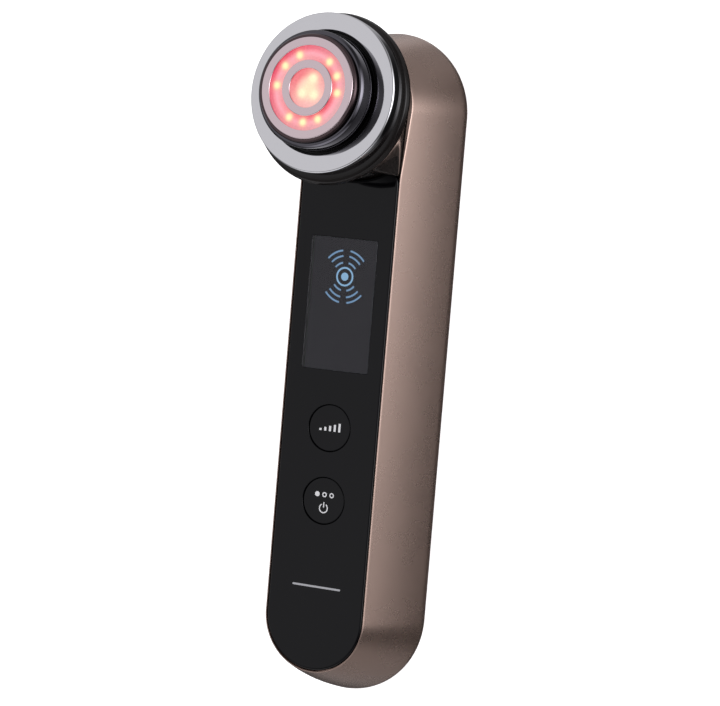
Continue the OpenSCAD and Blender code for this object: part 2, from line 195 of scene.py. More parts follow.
def plate(name, outer, holes, z0, z1, bevel_top, bevel_bot=0.1, hole_bevel=None, seg=5, angle=50.0):
    """Flat plate with rounded edges. outer is counter-clockwise, holes clockwise."""
    bm = bmesh.new()
    caps_top, caps_bot = [], []
    for li, loop in enumerate([outer] + holes):
        bt = bevel_top if li == 0 or hole_bevel is None else hole_bevel
        levels = [(bt + 0.12, z1)]
        levels += [(bt * (1 - sin(pi / 2 * k / seg)), z1 - bt * (1 - cos(pi / 2 * k / seg))) for k in range(seg + 1)]
        levels += [(0, z0 + bevel_bot), (bevel_bot, z0), (bevel_bot + 0.12, z0)]
        rings = []
        for off, z in levels:
            rings.append([bm.verts.new(Vector((x, y, z)) * MM) for x, y in (offset_loop(loop, off) if off else loop)])
        for a, b in zip(rings, rings[1:]):
            for k in range(len(loop)):
                k2 = (k + 1) % len(loop)
                bm.faces.new((a[k], a[k2], b[k2], b[k]))
        caps_top.append(rings[0])
        caps_bot.append(rings[-1])
    for caps in (caps_top, caps_bot):
        flat = [v for c in caps for v in c]
        for tri in geometry.tessellate_polygon([[v.co / MM for v in c] for c in caps]):
            try:
                bm.faces.new([flat[i] for i in tri])
            except ValueError:
                pass
    return finish_mesh(name, bm, angle, weld=1e-8)


def circle_loop(cx, cy, r, n=96, cw=False):
    pts = [(cx + r * cos(2 * pi * k / n), cy + r * sin(2 * pi * k / n)) for k in range(n)]
    return pts[::-1] if cw else pts


def rect_loop(x0, y0, x1, y1, r=0.4, cw=False, step=1.0):
    pts = dense(rounded([(x0, y0), (x1, y0), (x1, y1), (x0, y1)], r, 6), step)
    return pts[::-1] if cw else pts


def stroke(bm, path, width, zf, thick=0.03, round_ends=True, xf=None):
    """A thin raised printed line of that width along a path, lying on the height function zf."""
    pts = [Vector(p) for p in path]
    left, rgt = [], []
    for i, p in enumerate(pts):
        a = pts[max(0, i - 1)]
        b = pts[min(len(pts) - 1, i + 1)]
        t = (b - a).normalized()
        nrm = Vector((-t.y, t.x)) * width / 2
        left.append(p + nrm)
        rgt.append(p - nrm)
    if round_ends:
        def cap(c, frm, sign):
            r0 = (frm - c)
            a0 = atan2(r0.y, r0.x)
            return [c + Vector((cos(a0 - sign * pi * k / 6), sin(a0 - sign * pi * k / 6))) * width / 2 for k in range(1, 6)]
        end = cap(pts[-1], left[-1], 1)
        start = cap(pts[0], rgt[0], 1)
    else:
        end, start = [], []
    loop = left + end + rgt[::-1] + start
    def vert(p, dz):
        v = Vector((p.x, p.y, zf(p.x, p.y) + dz))
        if xf is not None:
            v = xf @ v
        return bm.verts.new(v * MM)
    def quads(dz, flip):
        L = [vert(p, dz) for p in left]
        R = [vert(p, dz) for p in rgt]
        fs = []
        for i in range(len(L) - 1):
            f = (L[i], R[i], R[i + 1], L[i + 1])
            fs.append(f[::-1] if flip else f)
        for f in fs:
            bm.faces.new(f)
        E = [vert(p, dz) for p in end]
        S = [vert(p, dz) for p in start]
        if E:
            bm.faces.new(([L[-1]] + E + [R[-1]]) if not flip else ([L[-1]] + E + [R[-1]])[::-1])
            bm.faces.new(([R[0]] + S + [L[0]]) if not flip else ([R[0]] + S + [L[0]])[::-1])
        return L + E + R[::-1] + S
    top = quads(thick, False)
    bot = quads(0.0, True)
    n = len(top)
    for i in range(n):
        j = (i + 1) % n
        try:
            bm.faces.new((top[i], top[j], bot[j], bot[i]))
        except ValueError:
            pass


def disc_mark(bm, cx, cy, r, zf, thick=0.03, n=40, xf=None, inner=0.0):
    rings = []
    def vert(x, y, dz):
        v = Vector((x, y, zf(x, y) + dz))
        if xf is not None:
            v = xf @ v
        return bm.verts.new(v * MM)
    radii = [(r, 0.0), (r, thick)] + ([(inner, thick), (inner, 0.0)] if inner > 0 else [(0, thick), (0, 0.0)])
    for rr, dz in radii:
        if rr > 0:
            rings.append([vert(cx + rr * cos(2 * pi * k / n), cy + rr * sin(2 * pi * k / n), dz) for k in range(n)])
        else:
            rings.append([vert(cx, cy, dz)])
    seq = rings + [rings[0]]
    for a, b in zip(seq, seq[1:]):
        if len(a) == 1 and len(b) == 1:
            continue
        for k in range(n):
            q = []
            for v in (a[k % len(a)], a[(k + 1) % len(a)], b[(k + 1) % len(b)], b[k % len(b)]):
                if v not in q:
                    q.append(v)
            if len(q) > 2:
                bm.faces.new(q)

# ------------------------------------------------------------------ material helpers
def new_mat(name):
    mt = bpy.data.materials.new(name)
    mt.use_nodes = True
    nt = mt.node_tree
    bsdf = next(n for n in nt.nodes if n.type == "BSDF_PRINCIPLED")
    return mt, nt, bsdf


def N(nt, kind, **kw):
    n = nt.nodes.new(kind)
    for k, v in kw.items():
        if k in n.inputs:
            n.inputs[k].default_value = v
        else:
            setattr(n, k, v)
    return n


def obj_coords(nt, rot=None, loc=None, scale=None):
    tc = nt.nodes.new("ShaderNodeTexCoord")
    mp = nt.nodes.new("ShaderNodeMapping")
    if rot:
        mp.inputs["Rotation"].default_value = rot
    if loc:
        mp.inputs["Location"].default_value = loc
    if scale:
        mp.inputs["Scale"].default_value = scale
    nt.links.new(tc.outputs["Object"], mp.inputs["Vector"])
    return mp.outputs["Vector"]


def noise(nt, vec, scale, detail=4.0, rough=0.55, dist=0.0):
    n = nt.nodes.new("ShaderNodeTexNoise")
    n.inputs["Scale"].default_value = scale
    n.inputs["Detail"].default_value = detail
    n.inputs["Roughness"].default_value = rough
    n.inputs["Distortion"].default_value = dist
    nt.links.new(vec, n.inputs["Vector"])
    return n.outputs["Fac"]


def ramp_range(nt, fac, lo, hi, a=0.3, b=0.7):
    n = nt.nodes.new("ShaderNodeMapRange")
    n.inputs["From Min"].default_value = a
    n.inputs["From Max"].default_value = b
    n.inputs["To Min"].default_value = lo
    n.inputs["To Max"].default_value = hi
    nt.links.new(fac, n.inputs["Value"])
    return n.outputs["Result"]


def mix_col(nt, fac, c0, c1):
    n = nt.nodes.new("ShaderNodeMix")
    n.data_type = "RGBA"
    n.inputs["A"].default_value = (*c0, 1)
    n.inputs["B"].default_value = (*c1, 1)
    nt.links.new(fac, n.inputs["Factor"])
    return n.outputs["Result"]


def bump(nt, bsdf, fac, strength, dist, prev=None):
    n = nt.nodes.new("ShaderNodeBump")
    n.inputs["Strength"].default_value = strength
    n.inputs["Distance"].default_value = dist
    nt.links.new(fac, n.inputs["Height"])
    if prev is not None:
        nt.links.new(prev, n.inputs["Normal"])
    nt.links.new(n.outputs["Normal"], bsdf.inputs["Normal"])
    return n.outputs["Normal"]


def surface(name, col, col2=None, metallic=0.0, rough=(0.3, 0.36), rough_scale=120.0, tex_scale=400.0,
            bump_s=0.08, bump_d=0.00005, bump_scale=2500.0, coat=0.0, coat_rough=0.05, ior=1.45, spec=0.5,
            sheen=0.0, col_detail=3.0, extra=None):
    mt, nt, b = new_mat(name)
    vec = obj_coords(nt)
    nt.links.new(mix_col(nt, noise(nt, vec, tex_scale, col_detail), col, col2 or tuple(c * 0.86 for c in col)), b.inputs["Base Color"])
    b.inputs["Metallic"].default_value = metallic
    nt.links.new(ramp_range(nt, noise(nt, vec, rough_scale, 4.0, 0.6), rough[0], rough[1]), b.inputs["Roughness"])
    b.inputs["IOR"].default_value = ior
    b.inputs["Specular IOR Level"].default_value = spec
    b.inputs["Coat Weight"].default_value = coat
    b.inputs["Coat Roughness"].default_value = coat_rough
    if sheen:
        b.inputs["Sheen Weight"].default_value = sheen
    if bump_s:
        bump(nt, b, noise(nt, vec, bump_scale, 2.0), bump_s, bump_d)
    if extra:
        extra(nt, b, vec)
    return mt

# ------------------------------------------------------------------ materials
def bronze_extra(nt, b, vec):
    # very fine orange peel of the satin paint
    bump(nt, b, noise(nt, vec, 1500.0, 2.0), 0.03, 0.00001)


BRONZE = surface("bronze_paint", (0.50, 0.358, 0.302), (0.47, 0.334, 0.283), metallic=0.92, rough=(0.25, 0.30),
                 rough_scale=90, tex_scale=60, coat=0.2, coat_rough=0.16, bump_s=0.0, extra=bronze_extra)
BLACK = surface("black_gloss", (0.0016, 0.0015, 0.0022), (0.0020, 0.0019, 0.0026), rough=(0.035, 0.07), rough_scale=70,
                tex_scale=50, bump_s=0.015, bump_scale=260, bump_d=0.0002, ior=1.46, spec=0.33)
NECK_BLACK = surface("black_gloss_neck", (0.010, 0.0085, 0.0085), (0.013, 0.011, 0.010), rough=(0.07, 0.12), rough_scale=80,
                     tex_scale=60, bump_s=0.02, bump_scale=300, bump_d=0.0002, ior=1.5, coat=0.5, coat_rough=0.03)
COLLAR_BLACK = surface("black_gloss_collar", (0.0065, 0.0052, 0.0050), (0.0085, 0.0068, 0.0064), rough=(0.05, 0.09), rough_scale=80,
                       tex_scale=60, bump_s=0.02, bump_scale=300, bump_d=0.0002, ior=1.48, spec=0.38)
SILVER = surface("silver_electrode", (0.88, 0.87, 0.895), (0.85, 0.84, 0.87), metallic=1.0, rough=(0.035, 0.06), rough_scale=160,
                 tex_scale=120, bump_s=0.02, bump_scale=700, bump_d=0.00002)
FACE_SILVER = surface("silver_face", (0.92, 0.75, 0.785), (0.89, 0.72, 0.76), metallic=1.0, rough=(0.05, 0.08), rough_scale=160,
                      tex_scale=120, bump_s=0.02, bump_scale=700, bump_d=0.00002)
RIM_CHROME = surface("rim_chrome", (0.12, 0.085, 0.09), (0.10, 0.07, 0.075), metallic=1.0, rough=(0.09, 0.14), rough_scale=150,
                     tex_scale=90, bump_s=0.02, bump_scale=900, bump_d=0.00002)
DARK_CHROME = surface("dark_chrome", (0.11, 0.105, 0.125), (0.095, 0.09, 0.105), metallic=1.0, rough=(0.05, 0.09), rough_scale=150,
                      tex_scale=90, bump_s=0.03, bump_scale=900, bump_d=0.00003, coat=0.4, coat_rough=0.04)
GAP = surface("gap_black", (0.004, 0.004, 0.0045), rough=(0.4, 0.5), bump_s=0.05)
LEGEND = surface("legend_print", (0.72, 0.72, 0.73), (0.64, 0.64, 0.66), rough=(0.35, 0.45), tex_scale=1500, bump_s=0.05)
RULE = surface("silver_print", (0.62, 0.62, 0.64), (0.52, 0.52, 0.55), metallic=0.8, rough=(0.25, 0.35), tex_scale=1200, bump_s=0.05)
WHITE_PLASTIC = surface("white_plastic", (0.72, 0.71, 0.68), rough=(0.4, 0.5), bump_s=0.1)
GREY_PLASTIC = surface("chassis_plastic", (0.55, 0.54, 0.50), rough=(0.45, 0.55), bump_s=0.12)
DARK_PLASTIC = surface("dark_plastic", (0.02, 0.02, 0.022), (0.028, 0.028, 0.03), rough=(0.4, 0.5), bump_s=0.12)
RUBBER = surface("rubber", (0.012, 0.012, 0.012), (0.02, 0.02, 0.02), rough=(0.6, 0.75), bump_s=0.2)
FOAM = surface("foam", (0.05, 0.05, 0.05), (0.09, 0.09, 0.09), rough=(0.85, 0.95), bump_s=0.6, bump_scale=1800)
BOARD = surface("board", (0.012, 0.10, 0.035), (0.02, 0.16, 0.06), rough=(0.25, 0.35), tex_scale=900, bump_s=0.1)
CELL = surface("cell_wrap", (0.02, 0.08, 0.28), (0.03, 0.1, 0.33), rough=(0.22, 0.3), bump_s=0.05)
WIRE = surface("wire", (0.45, 0.02, 0.015), rough=(0.35, 0.45), bump_s=0.05)
FLEX = surface("flex", (0.42, 0.17, 0.02), (0.36, 0.14, 0.02), rough=(0.2, 0.3), tex_scale=700, bump_s=0.05)
GOLD = surface("gold", (0.85, 0.56, 0.18), (0.78, 0.50, 0.15), metallic=1.0, rough=(0.18, 0.28), bump_s=0.03)
FERRITE = surface("ferrite", (0.03, 0.028, 0.028), (0.045, 0.04, 0.04), rough=(0.6, 0.7), bump_s=0.3)
STEEL = surface("steel", (0.55, 0.56, 0.58), (0.48, 0.49, 0.52), metallic=1.0, rough=(0.25, 0.38), bump_s=0.06)


def emissive(name, col, strength, base=(0.02, 0.02, 0.02), rough=0.3, var=0.12, scale=900.0):
    mt, nt, b = new_mat(name)
    vec = obj_coords(nt)
    f = noise(nt, vec, scale, 3.0)
    nt.links.new(mix_col(nt, f, col, tuple(c * (1 - var) for c in col)), b.inputs["Emission Color"])
    nt.links.new(mix_col(nt, f, base, tuple(c * 0.8 for c in base)), b.inputs["Base Color"])
    b.inputs["Emission Strength"].default_value = strength
    nt.links.new(ramp_range(nt, noise(nt, vec, 200.0), rough, rough + 0.08), b.inputs["Roughness"])
    bump(nt, b, noise(nt, vec, 2500.0, 2.0), 0.03, 0.00003)
    return mt


MARK = emissive("display_mark", (0.20, 0.37, 0.56), 2.3, base=(0.03, 0.05, 0.08))
MARK_CORE = emissive("display_core", (0.30, 0.55, 0.78), 2.3, base=(0.03, 0.05, 0.08))
LAMP = emissive("lamp", (1.0, 0.72, 0.30), 1.2, base=(0.8, 0.7, 0.4))


def display_face_mat():
    mt, nt, b = new_mat("display_face")
    vec = obj_coords(nt)
    f = noise(nt, vec, 300.0, 3.0)
    nt.links.new(mix_col(nt, f, (0.0020, 0.0020, 0.0025), (0.0017, 0.0017, 0.0022)), b.inputs["Base Color"])
    # painted light: this faint emission stands in for the room light that would reach the display face through the
    # window glass
    nt.links.new(mix_col(nt, f, (0.0180, 0.0165, 0.0240), (0.0165, 0.0150, 0.0220)), b.inputs["Emission Color"])
    b.inputs["Emission Strength"].default_value = 1.0
    b.inputs["Specular IOR Level"].default_value = 0.02
    nt.links.new(ramp_range(nt, noise(nt, vec, 150.0), 0.45, 0.55), b.inputs["Roughness"])
    bump(nt, b, noise(nt, vec, 4000.0, 2.0), 0.05, 0.00002)
    return mt


DISPLAY = display_face_mat()


def window_mat():
    mt, nt, b = new_mat("smoked_window")
    vec = obj_coords(nt)
    f = noise(nt, vec, 60.0, 3.0)
    nt.links.new(mix_col(nt, f, (0.36, 0.36, 0.38), (0.34, 0.34, 0.365)), b.inputs["Base Color"])
    b.inputs["Transmission Weight"].default_value = 1.0
    b.inputs["IOR"].default_value = 1.46
    b.inputs["Specular IOR Level"].default_value = 0.33
    nt.links.new(ramp_range(nt, noise(nt, vec, 90.0), 0.0, 0.015), b.inputs["Roughness"])
    bump(nt, b, noise(nt, vec, 260.0, 2.0), 0.01, 0.0001)
    return mt


WINDOW = window_mat()


def lens_mat(name, strength, rough):
    mt, nt, b = new_mat(name)
    # the glow attribute holds the LEDs' light through the lens together with painted shade on the lens edges, all sent
    # to emission
    at = nt.nodes.new("ShaderNodeAttribute")
    at.attribute_name = "glow"
    vec = obj_coords(nt)
    f = noise(nt, vec, 1600.0, 3.0)
    mixn = nt.nodes.new("ShaderNodeMix")
    mixn.data_type = "RGBA"
    mixn.blend_type = "MULTIPLY"
    mixn.inputs["Factor"].default_value = 0.22
    nt.links.new(at.outputs["Color"], mixn.inputs["A"])
    nt.links.new(ramp_range(nt, f, 0.7, 1.15), mixn.inputs["B"])
    nt.links.new(mixn.outputs["Result"], b.inputs["Emission Color"])
    b.inputs["Emission Strength"].default_value = strength
    nt.links.new(mix_col(nt, f, (0.16, 0.035, 0.045), (0.22, 0.05, 0.06)), b.inputs["Base Color"])
    nt.links.new(ramp_range(nt, noise(nt, vec, 400.0), rough, rough + 0.08), b.inputs["Roughness"])
    b.inputs["Coat Weight"].default_value = 0.3
    b.inputs["Coat Roughness"].default_value = 0.08
    bump(nt, b, noise(nt, vec, 1500.0, 2.0), 0.06, 0.00004)
    return mt


LENS = lens_mat("lit_lens", 0.92, 0.22)

# ------------------------------------------------------------------ piece bookkeeping
def piece(obj, material, body="root", nodes=()):
    obj.data.materials.clear()
    obj.data.materials.append(material)
    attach(obj, body)
    if nodes:
        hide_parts(*nodes)
    return obj

# ------------------------------------------------------------------ shell
def outer_r(z):
    """Half width of the shell's outside at height z."""
    if z >= SIDE_Z:
        s = sin(SF) - (BODY_T - z) / SIDE_R
        return FRONT + SIDE_R * (sqrt(max(0, 1 - s * s)) - cos(SF))
    s = sin(SB) - (SIDE_Z - z) / CORNER_R
    return SIDE_X + CORNER_R * (sqrt(max(0, 1 - s * s)) - cos(SB))


def shell_top(y):
    # the front edge slopes back round the head, with a soft start
    d = y - TILT_Y
    k = 1.2
    t = math.tan(TILT)
    if d <= -k:
        return BODY_T
    if d < k:
        return BODY_T - t * (d + k) ** 2 / (4 * k)
    return BODY_T - t * d


def stations():
    out = []
    na = 84
    for k in range(na + 1):                      # upper end, right to left
        out.append((YT, pi * k / na))
    ys = []
    y = YT
    ns = 90
    for k in range(1, ns):
        ys.append(YT - SPAN * k / ns)
    out += [(y, pi) for y in ys]
    for k in range(na + 1):                      # lower end, left to right
        out.append((YB, pi + pi * k / na))
    out += [(y, 2 * pi) for y in ys[::-1]]
    return out


def shell():
    bm = bmesh.new()
    st = stations()
    cols = []
    lip = 0.55
    for yc, phi in st:
        c, s = cos(phi), sin(phi)
        if abs(c) < 1e-12:
            c = 0.0
        # height of the front edge at this station
        zt = BODY_T
        for _ in range(12):
            zt = shell_top(yc + outer_r(zt) * s)
        prof = []
        # inner side first: floor centre, floor, inner wall, pocket, lip, outside, back
        prof += [(0.0, WALL), (8.0, WALL)]
        for k in range(0, 7):
            t = -pi / 2 + (SB + pi / 2) * k / 6
            prof.append((SIDE_X + CORNER_R * (cos(t) - cos(SB)) - WALL * cos(t),
                         SIDE_Z - CORNER_R * (sin(SB) - sin(t)) - WALL * sin(t)))
        zi = zt - 1.95
        z0 = prof[-1][1]
        for k in range(1, 9):
            z = z0 + (zi - z0) * k / 8
            prof.append((outer_r(z) - WALL / cos(radians(17.5)), z))
        pk = PANEL_HALF + 0.2
        prof += [(pk, zi + 0.02), (pk, zi + 0.5), (pk, zt - 0.25), (pk + 0.02, zt - 0.08), (pk + 0.08, zt)]
        ro = outer_r(zt)
        e0 = max(ro - lip * 0.62, pk + 0.12)
        prof.append((e0, zt))
        # rounded front edge: from flat to the side slope
        p0 = Vector((e0, zt))
        p1 = Vector((ro + 0.02, zt))
        p2 = Vector((outer_r(zt - lip), zt - lip))
        for k in range(1, 9):
            t = k / 8
            q = p0 * (1 - t) ** 2 + p1 * 2 * t * (1 - t) + p2 * t * t
            prof.append((max(q.x, pk + 0.09), q.y))
        zs = zt - lip
        for k in range(1, 25):
            z = zs + (SIDE_Z - zs) * k / 24
            prof.append((outer_r(z), z))
        for k in range(1, 19):
            t = SB - (SB + pi / 2) * k / 18
            prof.append((SIDE_X + CORNER_R * (cos(t) - cos(SB)), SIDE_Z - CORNER_R * (sin(SB) - sin(t))))
        prof += [(17.0, 0.0), (12.0, 0.0), (6.0, 0.0), (0.0, 0.0)]
        cols.append([bm.verts.new(Vector((r * c, yc + r * s, z)) * MM) for r, z in prof])
    n = len(cols)
    for i in range(n):
        a, b = cols[i], cols[(i + 1) % n]
        for k in range(len(a) - 1):
            bm.faces.new((a[k], b[k], b[k + 1], a[k + 1]))
    o = finish_mesh("shell_outer", bm, 40, weld=2e-7)
    # holes for the charging contacts
    cutters = []
    for s in (-1, 1):
        me = bpy.data.meshes.new("cut")
        cb = bmesh.new()
        bmesh.ops.create_cone(cb, cap_ends=True, segments=64, radius1=1.97 * MM, radius2=1.97 * MM, depth=8 * MM,
                              matrix=Matrix.Translation(Vector((5 * s, YB - 6, 0)) * MM))
        cb.to_mesh(me)
        cb.free()
        cutters.append(link(me, "cut"))
    for c in cutters:
        md = o.modifiers.new("b", "BOOLEAN")
        md.operation = "DIFFERENCE"
        md.solver = "EXACT"
        md.object = c
    dg = bpy.context.evaluated_depsgraph_get()
    me2 = bpy.data.meshes.new_from_object(o.evaluated_get(dg))
    o.modifiers.clear()
    o.data = me2
    for c in cutters:
        bpy.data.objects.remove(c)
    me2.shade_smooth()
    me2.set_sharp_from_angle(angle=radians(40))
    return o


piece(shell(), BRONZE, nodes=["rear_shell"])

# ------------------------------------------------------------------ front panel with button holes and display opening
def panel_loop(half=PANEL_HALF, corner=PCORNER, notch=NOTCH_R):
    pts = []
    for k in range(0, 97):
        t = pi + pi * k / 96
        pts.append((half * cos(t), YB + half * sin(t)))
    cx = half - corner
    cy = NOTCH_Y - sqrt((notch + corner) ** 2 - cx * cx)
    n = 70
    for k in range(1, n):
        pts.append((half, YB + (cy - YB) * k / n))
    ta = atan2(NOTCH_Y - cy, -cx)                    # direction from corner centre to head centre
    for k in range(0, 19):
        t = ta * k / 18
        pts.append((cx + corner * cos(t), cy + corner * sin(t)))
    a0 = atan2(cy - NOTCH_Y, cx)
    a1 = -pi - a0
    for k in range(1, 60):
        t = a0 + (a1 - a0) * k / 60
        pts.append((notch * cos(t), NOTCH_Y + notch * sin(t)))
    for k in range(18, -1, -1):
        t = ta * k / 18
        pts.append((-cx - corner * cos(t), cy + corner * sin(t)))
    for k in range(n - 1, 0, -1):
        pts.append((-half, YB + (cy - YB) * k / n))
    return pts


hw, hl = DISP_W / 2, DISP_L / 2
panel = plate("panel_front", panel_loop(),
              [circle_loop(0, LEVEL_Y, HOLE_R, 128, True), circle_loop(0, MODE_Y, HOLE_R, 128, True),
               rect_loop(-hw, DISP_Y - hl, hw, DISP_Y + hl, 0.5, True)],
              PANEL_BOT, PANEL_TOP, 0.75, 0.08, hole_bevel=0.16)
# the display opening is kept almost sharp, so that the window reads as flush
piece(panel, BLACK, nodes=["front_panel"])

window = plate("window_smoked", rect_loop(-hw + 0.03, DISP_Y - hl + 0.03, hw - 0.03, DISP_Y + hl - 0.03, 0.48),
               [], PANEL_TOP - 0.95, PANEL_TOP - 0.005, 0.05, 0.05, seg=2)
piece(window, WINDOW, nodes=["display_window"])

# display face under the window
face = plate("display_face", rect_loop(-hw + 0.1, DISP_Y - hl + 0.1, hw - 0.1, DISP_Y + hl - 0.1, 0.3), [],
             PANEL_TOP - 2.5, PANEL_TOP - 2.0, 0.05, 0.05, seg=2)
piece(face, DISPLAY)
DZ = PANEL_TOP - 2.0
SYM_Y = 30.49 - 80.55 + NOTCH_Y


def arc_path(cx, cy, r, a0, a1, n=14):
    """Angles in degrees from +Y, clockwise."""
    return [(cx + r * sin(radians(a0 + (a1 - a0) * k / n)), cy + r * cos(radians(a0 + (a1 - a0) * k / n))) for k in range(n + 1)]


flat = lambda z: (lambda x, y: z)
bm = bmesh.new()
for r in (3.95, 5.8, 7.35):
    lo, hi = (9.3, 50) if r > 4 else (13, 52)
    for base in (0, 180):
        for s in (-1, 1):
            stroke(bm, arc_path(0, SYM_Y, r, base + s * lo, base + s * hi), 0.50, flat(DZ + 0.01), 0.02, round_ends=False)
piece(finish_mesh("display_arcs", bm, 40), MARK)
bm = bmesh.new()
disc_mark(bm, 0, SYM_Y, 2.72, flat(DZ + 0.01), 0.02, 64, inner=2.22)
disc_mark(bm, 0, SYM_Y, 1.15, flat(DZ + 0.01), 0.02, 48)
piece(finish_mesh("display_core_ring", bm, 40), MARK_CORE)

# plain silver rule near the lower end, in place of lettering
bm = bmesh.new()
RULE_Y = -57.0 - 80.55 + NOTCH_Y
stroke(bm, [(-7.4, RULE_Y), (0, RULE_Y), (7.4, RULE_Y)], 0.55, flat(PANEL_TOP - 0.01), 0.04)
piece(finish_mesh("panel_rule", bm, 40), RULE)

# ------------------------------------------------------------------ buttons
CAP_TOP = 27.85


def cap_z(x, y, cy):
    r = hypot(x, y - cy)
    return CAP_TOP - 0.22 * (1 - min(1.0, r / 5.7) ** 2)


def button(name, cy, node, body):
    prof = [(0, 25.2), (7.4, 25.2), (7.4, 25.83), (BUTTON_R, 25.85)]
    prof += [(BUTTON_R, 26.4), (BUTTON_R, 27.35)]
    for k in range(1, 7):
        t = pi / 2 * k / 6
        prof.append((BUTTON_R - 0.35 * (1 - cos(t)), 27.5 + 0.35 * sin(t)))
    for k in range(0, 20):
        r = 5.85 * (1 - k / 19)
        prof.append((r, CAP_TOP - 0.22 * (1 - min(1.0, r / 5.7) ** 2)))
    o = lathe(name, prof, 160, Matrix.Translation((0, cy, 0)), 35, closed=False)
    return piece(o, BLACK, body, [node])


button("cap_level", LEVEL_Y, "level_button", "level_button_body")
button("cap_mode", MODE_Y, "mode_button", "mode_button_body")

# level legend: rising bars
bm = bmesh.new()
zf = lambda x, y: cap_z(x, y, LEVEL_Y) + 0.005
for k in range(5):
    x = (k - 2) * 1.5
    h = 0.6 + 0.45 * k
    y0 = LEVEL_Y - 0.85
    stroke(bm, [(x, y0 + h * j / 6) for j in range(7)], 0.66, zf, 0.03, round_ends=False)
piece(finish_mesh("legend_level", bm, 40), LEGEND, "level_button_body")

# mode legend: a row of dots above a power mark
bm = bmesh.new()
zf = lambda x, y: cap_z(x, y, MODE_Y) + 0.005
for k in range(3):
    disc_mark(bm, (k - 1) * 2.3, MODE_Y + 1.75, 0.72, zf, 0.03, 36, inner=0.0 if k == 0 else 0.4)
stroke(bm, arc_path(0, MODE_Y - 2.1, 1.25, 38, 322, 40), 0.32, zf, 0.03)
stroke(bm, [(0, MODE_Y - 2.1 + 0.35 + 1.25 * j / 5) for j in range(6)], 0.32, zf, 0.03)
piece(finish_mesh("legend_mode", bm, 40), LEGEND, "mode_button_body")

# ------------------------------------------------------------------ neck
def neck():
    bm = bmesh.new()
    n = 360
    y0 = PLUG_V
    rt = COLLAR_R - 0.9
    zb, zt = -22.83, -7.77
    cx = PANEL_HALF - PCORNER
    cdy = sqrt((NOTCH_R + PCORNER) ** 2 - cx * cx)
    yend = YT - NOTCH_Y + PLUG_V

    def inside(x, y):
        # outline of the plug: shell end, limited by the panel's concave end and its rounded corners
        if abs(x) > PANEL_HALF:
            return False
        if y > yend and hypot(x, y - yend) > PANEL_HALF:
            return False
        if hypot(x, y - y0) <= NOTCH_R - 0.15:
            return True
        ax = abs(x)
        cyy = y0 - cdy
        if y < cyy:
            return False
        # corner wedge outside the rounded corner of the panel
        wedge = (ax - cx) * cdy + (y - cyy) * cx > 0
        return wedge and hypot(ax - cx, y - cyy) >= PCORNER + 0.15

    def base_r(t):
        lo, hi = 0.0, 40.0
        # march inwards from outside to the first point inside the outline
        r = 27.0
        while r > 0 and not inside(r * cos(t), y0 + r * sin(t)):
            r -= 0.05
        return r

    rb = [base_r(2 * pi * k / n) for k in range(n)]
    rb = [(rb[k - 2] + 2 * rb[k - 1] + 3 * rb[k] + 2 * rb[(k + 1) % n] + rb[(k + 2) % n]) / 9 for k in range(n)]
    rings = []

    def ring(w, f, shrink=0.0):
        row = []
        for k in range(n):
            t = 2 * pi * k / n
            r = (rt + (rb[k] - rt) * f) - shrink
            yy = y0 * f + COLLAR_V * (1 - f)
            row.append(bm.verts.new(HEAD @ Vector((r * cos(t), yy + r * sin(t), w)) * MM))
        rings.append(row)

    ring(-26.62, 1.0, 0.3)
    ring(-26.37, 1.0, 0.02)
    ring(zb, 1.0, 0.0)
    steps = 26
    for k in range(1, steps + 1):
        s = k / steps
        ring(zb + (zt - zb) * s, (1 - s) ** 0.85)
    for a, b in zip(rings, rings[1:]):
        for k in range(n):
            bm.faces.new((a[k], a[(k + 1) % n], b[(k + 1) % n], b[k]))
    # inner bore closes the solid
    bores = []
    for r, w in ((6.0, zt), (6.0, -11.77), (12.5, -11.77), (12.5, -22.87), (7.4, -22.87), (7.4, -26.62)):
        bores.append([bm.verts.new(HEAD @ Vector((r * cos(2 * pi * k / n), r * sin(2 * pi * k / n), w)) * MM) for k in range(n)])
    seq = [rings[-1]] + bores + [rings[0]]
    for a, b in zip(seq, seq[1:]):
        for k in range(n):
            bm.faces.new((a[k], a[(k + 1) % n], b[(k + 1) % n], b[k]))
    return finish_mesh("neck_body", bm, 42)


piece(neck(), NECK_BLACK, nodes=["neck_shell"])

# ------------------------------------------------------------------ head rings
collar_prof = [(18.2, -7.77)] + rounded(
    [(22.9, -7.77), (23.2, -7.77), (COLLAR_R, -7.1), (COLLAR_R, -6.3), (COLLAR_R - 0.35, -5.3), (COLLAR_R - 1.25, -4.67)],
    [0, 0.15, 0.35, 0.5, 0.6, 0], 6, closed=False) + [(18.2, -4.67)]
piece(lathe("collar_gloss", collar_prof, 320, HEAD @ Matrix.Translation((0, COLLAR_V, 0))), COLLAR_BLACK, nodes=["collar_ring"])

ring_prof = rounded([(RING_R0, -4.67), (RING_R1 - 0.1, -4.67), (RING_R1, -4.5), (RING_R1, 0.0), (RING_R0, 0.0)], [0.05, 0.05, 0.1, 0.6, 0.22], 10)
ring_prof = dense(ring_prof, 0.9)
piece(lathe("ring_electrode", ring_prof, 360, angle=40), SILVER, nodes=["outer_electrode"])

piece(lathe("gap_liner", rounded([(BARREL_R + 0.03, -5.77), (17.19, -5.77), (17.19, -0.7), (16.95, -0.7), (16.75, -1.2), (BARREL_R + 0.03, -1.2)], 0.08, 3), 256),
      GAP, nodes=["ring_insulator"])

barrel_prof = rounded([(13.95, -5.77), (BARREL_R, -5.77), (BARREL_R, 1.75), (BARREL_R - 0.28, 1.85), (BARREL_R - 0.28, 2.15), (BARREL_R, 2.25),
                       (BARREL_R, 6.0), (BARREL_R - 0.6, 6.65), (15.0, 6.7), (15.0, 6.2), (13.95, 6.2)],
                      [0, 0.1, 0.08, 0.05, 0.05, 0.08, 0.45, 0.25, 0.05, 0.05, 0], 6)
barrel_prof = dense(barrel_prof, 1.0)
piece(lathe("barrel_chrome", barrel_prof, 320, angle=40), DARK_CHROME, nodes=["head_barrel"])

